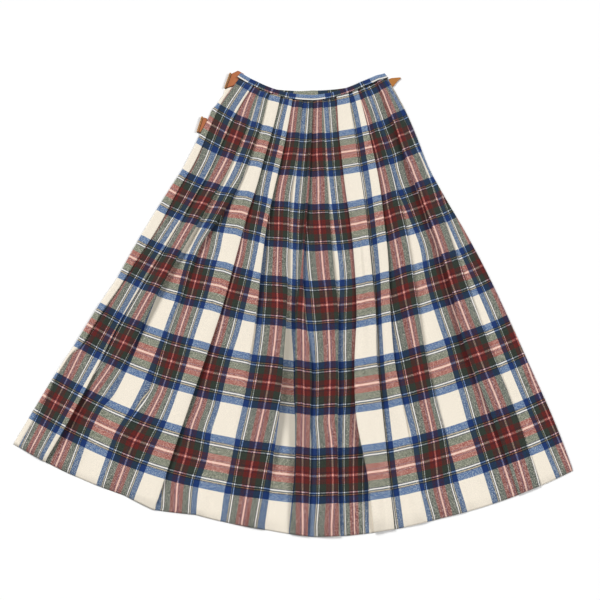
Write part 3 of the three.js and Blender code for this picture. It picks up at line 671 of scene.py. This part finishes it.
# The strip swells toward the front's edge and drops into a dark furrow beside it: its height and
# the furrow's breadth, in millimetres. The swell begins over swell_run from the left edge, the
# furrow's side is furrow_slope wide, and the underside follows the swell by hollow_share of it.
strip_rise = {"radius": [0.25, 0.3, 0.4, 0.6, 0.75, 0.8, 0.85, 0.9, 0.97, 1.06],
              "height": [0, 1, 2.5, 2.5, 3, 3.5, 3.5, 3, 2, 0],
              "furrow": [1, 1, 1.2, 1.4, 2, 4, 5, 3, 1.8, 1.5]}
swell_run = 0.005
furrow_slope = 0.002
hollow_share = 0.9
# Shares of the back's width: its edges are rounded down to rim_height over crown_share, its columns
# are closer together as far as strip_share, and it keeps to its left edge's own radii near it, less
# and less as far as fitted_share.
rim_height = 0.0012
crown_height = 0.0008
crown_share = 0.004
strip_share = 0.045
fitted_share = 0.08
back_rows = 150
strip_columns = 26
back_columns = 96
# The strip's check: the units at an angle, near the cream's right edge, the millimetres a unit,
# and the least units, which are cream.
strip_check = {"angle": -29.3, "units": 59, "size": 1.5, "least": 28}
back_hem = {"angle": [-30.2, -29.7, -29.4, 24.5], "radius": [1.097, 1.096, 1.085, 1.085]}

down = np.linspace(0, 1, back_rows)[:, None]
nominal = back_left["radius"][0] + down * (back_left["radius"][-1] - back_left["radius"][0])
left = np.interp(nominal, back_left["radius"], back_left["angle"])
right = np.interp(nominal, back_right["radius"], back_right["angle"])
share_across = np.concatenate([np.linspace(0, strip_share, strip_columns)[:-1],
                               np.linspace(strip_share, 1, back_columns)])
angle = left + (right - left) * share_across
top = np.interp(angle, back_top["angle"], back_top["radius"]) + band_width + 2 * seam
bottom = np.interp(angle, back_hem["angle"], back_hem["radius"])
radius = top + (bottom - top) * down
radius = radius + (nominal - radius) * np.clip(1 - share_across / fitted_share, 0, 1)
x, y = fan_point(angle, radius)
crown = np.clip(np.minimum(share_across, 1 - share_across) / crown_share, 0, 1) ** 0.5
from_left = np.radians(angle - left) * radius / swell_run
to_front = arc(front_left_edge, radius) - np.radians(angle) * radius
furrow = along(strip_rise["radius"], strip_rise["furrow"], radius) / 1000
rise = along(strip_rise["radius"], strip_rise["height"], radius) / 1000
rise = rise * np.sin(np.clip(from_left, 0, 1) * math.pi / 2)
rise = rise * np.clip((to_front - furrow) / furrow_slope, 0, 1)
upper_z = rim_height + crown_height * crown + rise
lower_z = rise * hollow_share
strip_across = np.radians(angle - strip_check["angle"]) * radius * 1000
strip_units = np.maximum(strip_check["least"], strip_check["units"] + strip_across / strip_check["size"])
back_check = np.stack([strip_units, weft_units(angle, radius)], axis=-1)
ring = np.concatenate([np.stack([x, y, upper_z], -1), np.stack([x, y, lower_z], -1)[:, ::-1]], axis=1)
ring_check = np.concatenate([back_check, back_check[:, ::-1]], axis=1)
back = cloth_mesh("skirt_back_cloth", ring, ring_check, check_wool)
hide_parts("skirt_back")
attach(back, "root")


# The waistbands: narrow folded strips of the same cloth, cut so that a blue line runs along
# them, with the white line as their lower edge. The back one's inside shows above the front.
band_gap = 0.0007
front_band = {"from": -39.4, "to": 37.6, "bottom": back_wall + band_gap, "thickness": 0.0036, "steps": 200}
back_band = {"from": -36, "to": 33, "bottom": 0.0, "thickness": back_wall, "steps": 180}
# The rounding of a band's edges, the part of it that their corner point takes, and the points
# across its top.
band_rounding = 0.0010
rounding_step = 0.3
band_shares = (0.2, 0.35, 0.5, 0.62, 0.68, 0.73, 0.82)
front_band_check = {
    "angle": [-39.4, -33.6, -28.7, -21.3, -12.3, -9.3, 4.9, 9.05, 16.1, 23.8, 29.3, 37.6],
    "units": [-43, -27, -16.5, 0, 20.4, 27, 59.5, 70, 86.5, 103, 113.5, 130],
    "across": [0, 0.0082, 0.0088, 0.0123, 0.0125], "weft": [26.6, 20.6, 17.2, 15.8, 15.4]}
# Beside the front band the back band's check runs through its green into red. These are the cloth's own
# stripes, chosen dark there as painted shade from the front band.
back_band_check = {
    "angle": [-36, -22, -13, -11, 1.5, 6.2, 16, 33], "units": [-17, 8, 20.4, 27, 59.5, 66.1, 86.5, 116],
    "across": [0, 0.008, 0.01, 0.0125], "weft": [14.4, 9.4, 8.4, 7]}


def band_piece(name, band, top_line, check):
    """A flat strip with rounded edges, along a line of the waist. Gives the strip's length too."""
    bend = np.linspace(band["from"], band["to"], band["steps"])
    inner = np.interp(bend, top_line["angle"], top_line["radius"])
    low, top = band["bottom"], band["bottom"] + band["thickness"]
    r, step = band_rounding, band_rounding * rounding_step
    upper = [(0, top - r), (step, top - step), (r, top)]
    upper += [(share * band_width, top) for share in band_shares]
    upper += [(band_width - r, top), (band_width - step, top - step), (band_width, top - r)]
    lower = [(share * band_width, low) for share in np.linspace(1, 0, len(upper))]
    across, height = (np.array(values) for values in zip(*(upper + lower)))
    angle = np.repeat(bend[:, None], len(across), axis=1)
    x, y = fan_point(angle, inner[:, None] + across)
    z = np.repeat(height[None, :], len(bend), axis=0)
    units = np.interp(angle, check["angle"], check["units"])
    weft = np.repeat(np.interp(across, check["across"], check["weft"])[None, :], len(bend), axis=0)
    points, check_places = np.stack([x, y, z], axis=-1), np.stack([units, weft], axis=-1)
    piece = cloth_mesh(name, points[::-1], check_places[::-1], band_wool)
    middle = inner + band_width / 2
    return piece, float(np.hypot(np.diff(x[:, 0]), np.diff(y[:, 0])).sum() * middle.mean() / inner.mean())


band_wool = wool("band wool", rib_depth=0.0002, fuzz=0.25)
for node, band, top_line, check in (
        ("waistband_front", front_band, front_top, front_band_check),
        ("waistband_back", back_band, back_top, back_band_check)):
    piece, length = band_piece(node + "_cloth", band, top_line, check)
    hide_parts(node)
    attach(piece, "root")


# The leather: two tan tabs, folded round the buckles' bars on the left edge, and the pointed
# ochre end of a strap at the right of the waist. Vegetable-tanned, with darker burnished edges.
# Outlines, bars and seams are in millimetres about the fan's centre.
leather_wall = 0.0020
fold_swell = 0.0012
swell_breadth = 0.007
tabs = {
    "waist_tab": {
        "outline": [(-181.3, -218), (-171.2, -183.9), (-158, -176.2), (-145.2, -184.6),
                    (-153, -199), (-163, -210)],
        "bar": [(-173.5, -183.2), (-183.6, -217.4)], "seam": [(-149.5, -187), (-156.5, -199.5)]},
    "hip_tab": {
        "outline": [(-234.7, -318.2), (-226.1, -284), (-217.4, -286.9), (-223.3, -301.3), (-231.3, -319)],
        "bar": [(-228.4, -283.4), (-237, -317.6)], "seam": [(-220.4, -289), (-229.6, -311.5)]},
}
strap_outline = [(145.5, -201), (155.5, -194), (168, -192.7), (176, -192.2), (176.8, -194),
                 (171.5, -198.6), (166.5, -204.6), (160.5, -213), (152, -217)]
# Each corner is cut off three times over, and no cut takes more than a part of a side.
corner_cuts = (0.0012, 0.0005, 0.0002)
longest_cut = 0.3
# From the bottom to the middle of the top: how far in each ring lies, its height as a share of
# the wall, and how darkly its edge is burnished.
edge_rings = [(0.03, 0.02, 1), (0, 0.22, 1), (0, 0.7, 1), (0.025, 0.92, 0.75), (0.075, 1, 0.3),
              (0.16, 1, 0.08), (0.3, 1, 0), (0.45, 1, 0), (0.6, 1, 0), (0.75, 1, 0), (0.9, 1, 0)]
cloud_scale, cloud_detail, cloud_depth, clear_share = 160.0, 4.0, 0.55, 0.15
pore_scale, pore_depth = 1400.0, 0.0002
least_roughness, cloud_roughness = 0.36, 0.2


def leather(name, colour, edge_colour):
    """Smooth leather: cloudy colour, burnished edges, fine pores and a soft gloss."""
    material, tree, shader = new_material(name)
    place = tree.nodes.new("ShaderNodeTexCoord").outputs["Object"]
    clouds = noise(tree, place, cloud_scale, cloud_detail)
    burnish = tree.nodes.new("ShaderNodeAttribute")
    burnish.attribute_name = "burnish"
    worn = maths(tree, "ADD", maths(tree, "MULTIPLY", clouds, cloud_depth), burnish.outputs["Fac"])
    limit = tree.nodes.new("ShaderNodeClamp")
    feed(tree, limit, {"Value": maths(tree, "SUBTRACT", worn, clear_share)})
    pores = tree.nodes.new("ShaderNodeTexVoronoi")
    feed(tree, pores, {"Scale": pore_scale, "Vector": place})
    feed(tree, shader, {
        "Base Color": blended(tree, limit.outputs["Result"], (*colour, 1), (*edge_colour, 1)),
        "Roughness": maths(tree, "ADD", maths(tree, "MULTIPLY", clouds, cloud_roughness), least_roughness),
        "Normal": bumped(tree, pores.outputs["Distance"], 0.35, pore_depth), "Specular IOR Level": 0.35})
    return material


def leather_piece(name, outline, material, bar=None):
    """A flat leather piece with rounded edges. Near its bar it swells to the fold's two layers."""
    rim = np.array(outline) / 1000
    for cut in corner_cuts:
        side = np.roll(rim, -1, axis=0) - rim
        length = np.linalg.norm(side, axis=1, keepdims=True)
        trim = side * np.minimum(cut / length, longest_cut)
        rim = np.stack([rim + trim, rim + side - trim], axis=1).reshape(-1, 2)
    middle = rim.mean(axis=0)
    rings = [np.column_stack([rim + (middle - rim) * inset, np.full(len(rim), share * leather_wall)])
             for inset, share, _ in edge_rings]
    underside = edge_rings[0][1] * leather_wall
    points = np.concatenate([*rings, [[*middle, leather_wall]], [[*middle, underside]]])
    if bar is not None:
        start, end = np.array(bar) / 1000
        along_bar = (end - start) / np.linalg.norm(end - start)
        offset = points[:, :2] - start
        away = np.abs(offset[:, 0] * along_bar[1] - offset[:, 1] * along_bar[0])
        points[:, 2] += fold_swell * np.exp(-(away / swell_breadth) ** 2) * points[:, 2] / leather_wall
    points[:, :2] += fan_centre
    count = len(rim)
    index = np.arange(count * len(rings)).reshape(len(rings), count)
    following = np.roll(index, -1, axis=1)
    faces = np.stack([index[:-1], following[:-1], following[1:], index[1:]], axis=-1).reshape(-1, 4).tolist()
    top, bottom = len(points) - 2, len(points) - 1
    faces += [(int(a), int(b), top) for a, b in zip(index[-1], following[-1])]
    faces += [(int(b), int(a), bottom) for a, b in zip(index[0], following[0])]
    mesh = bpy.data.meshes.new(name)
    mesh.from_pydata(points.tolist(), [], faces)
    burnish = np.concatenate([np.full(count, dark) for _, _, dark in edge_rings] + [[0, 1]])
    mesh.attributes.new("burnish", "FLOAT", "POINT").data.foreach_set("value", burnish.astype(np.float32))
    area = sum(rim[:, 0] * np.roll(rim[:, 1], -1) - np.roll(rim[:, 0], -1) * rim[:, 1])
    if area < 0:
        mesh.flip_normals()
    return smooth_piece(name, mesh, material)


tan_leather = leather("tan leather", (0.50, 0.165, 0.062), (0.22, 0.070, 0.028))
for node, tab in tabs.items():
    piece = leather_piece(node + "_leather", tab["outline"], tan_leather, tab["bar"])
    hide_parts(node)
    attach(piece, "root")
ochre_leather = leather("ochre leather", (0.47, 0.19, 0.042), (0.30, 0.10, 0.025))
piece = leather_piece("strap_end_leather", strap_outline, ochre_leather)
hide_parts("strap_end")
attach(piece, "root")


# The stitches that hold each tab to the cloth: waxed thread in a straight row across the tab,
# one stitch every 2.4 mm, pressed a little into the leather.
stitch_sizes = {"Pitch": 0.0024, "Stitch length": 0.0018, "Thread": 0.0006}
stitch_rise = 0.0001
thread, tree, shader = new_material("waxed thread")
place = tree.nodes.new("ShaderNodeTexCoord").outputs["Object"]
strands = tree.nodes.new("ShaderNodeTexWave")
feed(tree, strands, {"Scale": 900.0, "Distortion": 1.5, "Vector": place})
waxed = blended(tree, strands.outputs["Fac"], (0.22, 0.10, 0.045, 1), (0.34, 0.17, 0.08, 1))
feed(tree, shader, {"Base Color": waxed, "Roughness": 0.7})

stitching, line_in, stitches_out = new_group(
    "stitch row", [("Line", "Geometry", None),
                   *((label, "Float", value) for label, value in stitch_sizes.items())],
    [("Stitches", "Geometry")], "GeometryNodeTree")
to_curve, spaced, tangent, facing, bead, shape, placed, realised, threaded = (
    stitching.nodes.new(kind) for kind in (
        "GeometryNodeMeshToCurve", "GeometryNodeResampleCurve", "GeometryNodeInputTangent",
        "FunctionNodeAlignRotationToVector", "GeometryNodeMeshUVSphere", "ShaderNodeCombineXYZ",
        "GeometryNodeInstanceOnPoints", "GeometryNodeRealizeInstances", "GeometryNodeSetMaterial"))
spaced.mode = "LENGTH"
facing.axis = "X"
feed(stitching, bead, {"Segments": 10, "Rings": 8, "Radius": 0.5})
feed(stitching, threaded, {"Material": thread})
for source, output, target, label in (
        (line_in, "Line", to_curve, "Mesh"), (to_curve, "Curve", spaced, "Curve"),
        (line_in, "Pitch", spaced, "Length"), (spaced, "Curve", placed, "Points"),
        (tangent, "Tangent", facing, "Vector"), (facing, "Rotation", placed, "Rotation"),
        (bead, "Mesh", placed, "Instance"), (line_in, "Stitch length", shape, "X"),
        (line_in, "Thread", shape, "Y"), (line_in, "Thread", shape, "Z"),
        (shape, "Vector", placed, "Scale"), (placed, "Instances", realised, "Geometry"),
        (realised, "Geometry", threaded, "Geometry"), (threaded, "Geometry", stitches_out, "Stitches")):
    stitching.links.new(source.outputs[output], target.inputs[label])

for node, tab in tabs.items():
    ends = [(x / 1000 + fan_centre[0], y / 1000 + fan_centre[1], leather_wall + stitch_rise)
            for x, y in tab["seam"]]
    line = bpy.data.meshes.new(node + "_stitches")
    line.from_pydata(ends, [(0, 1)], [])
    row = added(node + "_stitches", line)
    modifier = row.modifiers.new("stitches", "NODES")
    modifier.node_group = stitching
    for item in stitching.interface.items_tree:
        if item.in_out == "INPUT" and item.name in stitch_sizes:
            modifier[item.identifier] = stitch_sizes[item.name]
    made = bpy.data.meshes.new_from_object(row.evaluated_get(bpy.context.evaluated_depsgraph_get()))
    row.modifiers.clear()
    row.data = made
    made.polygons.foreach_set("use_smooth", [True] * len(made.polygons))
    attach(row, "root")


# The buckles' bars: the edges of two cast frames that show in the tabs' folds. Antique bronze,
# dark in its hollows and brown where it is rubbed.
patina_scale, patina_detail = 320.0, 5.0
pit_scale, pit_depth = 700.0, 0.0003
dull_roughness, rubbed_change = 0.62, -0.3
bronze, tree, shader = new_material("antique bronze")
place = tree.nodes.new("ShaderNodeTexCoord").outputs["Object"]
patina = noise(tree, place, patina_scale, patina_detail)
feed(tree, shader, {
    "Base Color": blended(tree, patina, (0.16, 0.085, 0.040, 1), (0.48, 0.26, 0.12, 1)),
    "Roughness": maths(tree, "ADD", maths(tree, "MULTIPLY", patina, rubbed_change), dull_roughness),
    "Normal": bumped(tree, noise(tree, place, pit_scale), 0.3, pit_depth), "Metallic": 0.9})
for node in ("waist_buckle", "hip_buckle"):
    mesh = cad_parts[node].data
    mesh.materials.clear()
    mesh.materials.append(bronze)


# The surface, the light and the camera.
floor_size = 30
floor_gap = 0.0002
bpy.ops.mesh.primitive_plane_add(size=floor_size, location=(0, 0, -floor_gap))
floor = bpy.context.object
floor.name = "floor"
paper, tree, shader = new_material("pale paper")
feed(tree, shader, {"Base Color": (0.97, 0.97, 0.97, 1), "Roughness": 0.9, "Specular IOR Level": 0.1})
floor.data.materials.append(paper)

# Two broad soft lights, from the upper left and the right, and a little light from all round.
# share: the part of the surface's light that each gives. Angles are in degrees.
full_light = 1.04
light_distance = 3
soft_lights = table(("name", "share", "azimuth", "height", "breadth"), [
    ("upper left light", 0.50, 138, 38, 24),
    ("right light", 0.36, 2, 38, 24),
])
world = bpy.data.worlds.new("studio")
bpy.context.scene.world = world
world.use_nodes = True
left_over = 1 - sum(light["share"] for light in soft_lights)
feed(world.node_tree, world.node_tree.nodes["Background"],
     {"Color": (1.0, 1.0, 1.0, 1), "Strength": full_light * left_over})
for light in soft_lights:
    azimuth, height = math.radians(light["azimuth"]), math.radians(light["height"])
    lamp = bpy.data.lights.new(light["name"], "SUN")
    lamp.angle = math.radians(light["breadth"])
    lamp.energy = full_light * light["share"] * math.pi / math.sin(height)
    flat = math.cos(height)
    toward = Vector((math.cos(azimuth) * flat, math.sin(azimuth) * flat, math.sin(height)))
    stand = added(light["name"], lamp)
    stand.location = toward * light_distance
    stand.rotation_euler = toward.to_track_quat("Z", "Y").to_euler()

# The photo's camera looks down from the hem's side, 18 degrees off straight above.
picture_pixels = 600
focal_pixels = 997.1
tilt = math.radians(18)
aim = (0.0145, -0.0277, 0.0)
distance = 1.9
camera_data = bpy.data.cameras.new("camera")
camera_data.sensor_width = 36
camera_data.lens = focal_pixels / picture_pixels * camera_data.sensor_width
camera_data.clip_start = 0.1
camera_data.clip_end = 50
camera = added("camera", camera_data)
camera.location = (aim[0], aim[1] - distance * math.sin(tilt), distance * math.cos(tilt))
camera.rotation_euler = (tilt, 0, 0)
bpy.context.scene.camera = camera
bpy.context.scene.view_settings.view_transform = "Standard"
